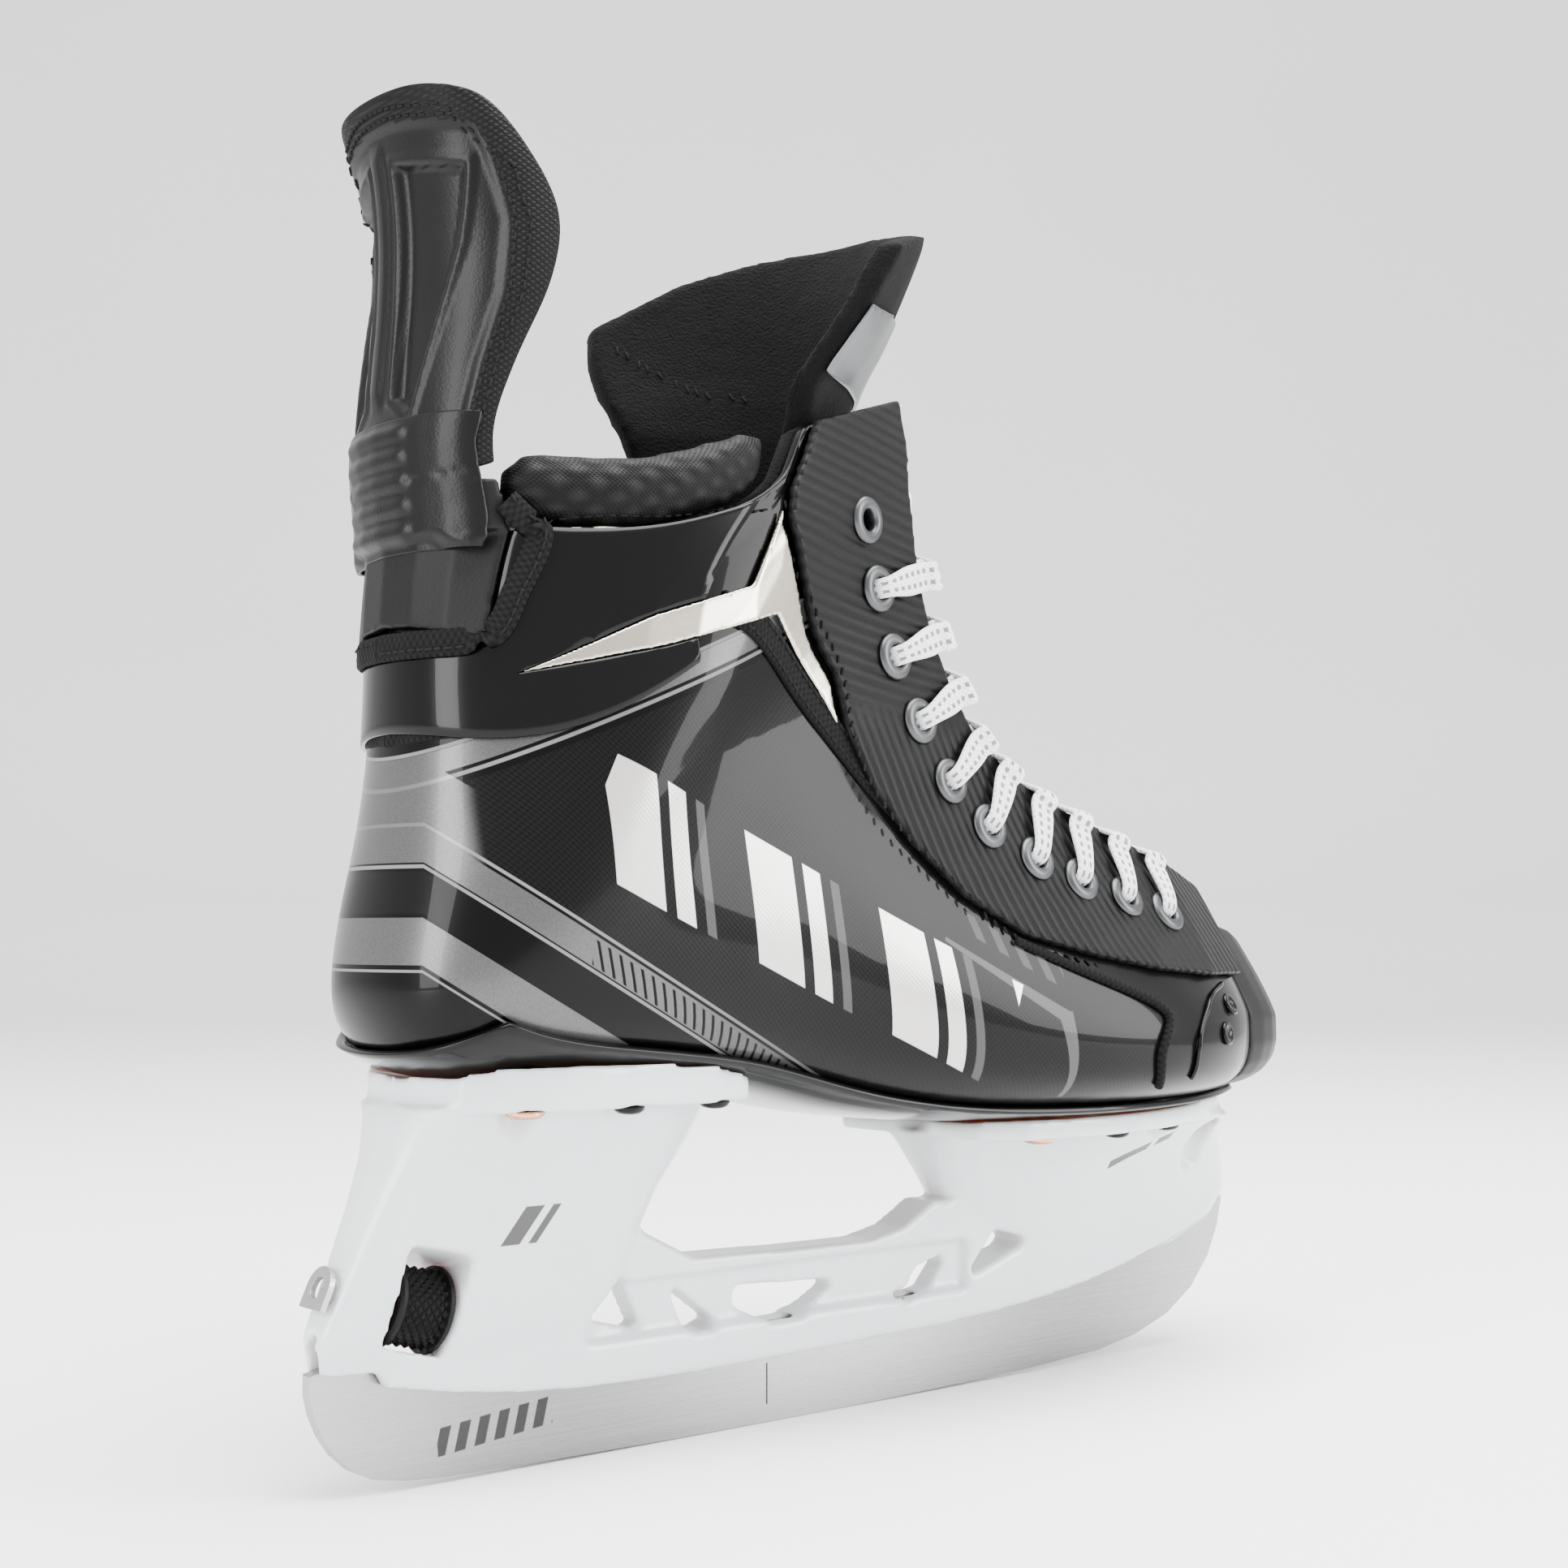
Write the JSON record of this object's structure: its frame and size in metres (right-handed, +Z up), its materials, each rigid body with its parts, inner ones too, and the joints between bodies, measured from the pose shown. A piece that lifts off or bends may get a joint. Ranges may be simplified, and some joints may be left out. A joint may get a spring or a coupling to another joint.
{
  "type": "ice hockey skate",
  "caption": "Right ice hockey skate: laced moulded boot on a white blade holder with a quick-release steel runner, flexing tendon guard and tongue.",
  "frame": {"origin": "the point where the middle of the runner's rocker touches the ice", "axes": "+X towards the toe, +Y to the skate's left (the inner side of a right skate), +Z up"},
  "size_m": [0.2761, 0.1025, 0.273],
  "materials": {
    "shell": "gloss",
    "felt": "felt",
    "satin": "satin",
    "pad": "woven",
    "trim": "satin",
    "lace": "woven cotton",
    "white_plastic": "gloss",
    "steel": "polished",
    "eyelet": "satin",
    "copper": "polished",
    "rivet": "satin"
  },
  "bodies": {
    "boot": {"quarter_shell": "shell", "outsole": "shell", "ankle_wrap": "shell", "liner": "felt", "footbed": "felt", "tongue_base": "felt", "toe_cap": "satin", "tendon_base": "satin", "facing_right": "satin", "facing_left": "satin", "collar_pad_right": "pad", "collar_pad_left": "pad", "trim_right": "trim", "trim_left": "trim", "lace": "lace", "holder": "white_plastic", "lock_plate": "steel", "eyelet_right_1": "eyelet", "eyelet_right_2": "eyelet", "eyelet_right_3": "eyelet", "eyelet_right_4": "eyelet", "eyelet_right_5": "eyelet", "eyelet_right_6": "eyelet", "eyelet_right_7": "eyelet", "eyelet_right_8": "eyelet", "eyelet_right_9": "eyelet", "eyelet_right_10": "eyelet", "eyelet_left_1": "eyelet", "eyelet_left_2": "eyelet", "eyelet_left_3": "eyelet", "eyelet_left_4": "eyelet", "eyelet_left_5": "eyelet", "eyelet_left_6": "eyelet", "eyelet_left_7": "eyelet", "eyelet_left_8": "eyelet", "eyelet_left_9": "eyelet", "eyelet_left_10": "eyelet", "heel_t_nut_right": "copper", "heel_rivet_1_right": "rivet", "heel_rivet_2_right": "rivet", "toe_t_nut_right": "copper", "toe_rivet_1_right": "rivet", "toe_rivet_2_right": "rivet", "toe_rivet_3_right": "rivet", "heel_t_nut_left": "copper", "heel_rivet_1_left": "rivet", "heel_rivet_2_left": "rivet", "toe_t_nut_left": "copper", "toe_rivet_1_left": "rivet", "toe_rivet_2_left": "rivet", "toe_rivet_3_left": "rivet"},
    "tendon_guard": {"tendon_guard": "satin"},
    "tongue_top": {"tongue_top": "felt"},
    "lock_wheel": {"lock_wheel": "rivet", "lock_screw": "steel"},
    "lock_claw": {"lock_claw": "steel"},
    "runner": {"runner": "steel"}
  },
  "joints": [
    {"name": "tendon_guard_flex", "type": "hinge", "parent": "boot", "child": "tendon_guard", "pos_m": [-0.1012, 0, 0.194], "axis": [0, 1, 0], "range_deg": [-25, 8], "stiffness_Nm_per_rad": 1.5},
    {"name": "tongue_flex", "type": "hinge", "parent": "boot", "child": "tongue_top", "pos_m": [0.014, 0, 0.222], "axis": [0, 1, 0], "range_deg": [0, 35], "stiffness_Nm_per_rad": 0.6},
    {"name": "lock_wheel_turn", "type": "hinge", "parent": "boot", "child": "lock_wheel", "pos_m": [-0.0925, 0, 0.035], "axis": [0.9703, 0, -0.2419], "range_deg": [0, 720]},
    {"name": "lock_claw_slide", "type": "slide", "parent": "boot", "child": "lock_claw", "axis": [-0.9703, 0, 0.2419], "range_m": [0, 0.004]},
    {"name": "runner_release", "type": "slide", "parent": "boot", "child": "runner", "axis": [0, 0, -1], "range_m": [0, 0.03]}
  ],
  "couplings": [
    {"joint": "lock_wheel_turn", "follows": "lock_claw_slide", "rad_per_m": 3141.5}
  ]
}
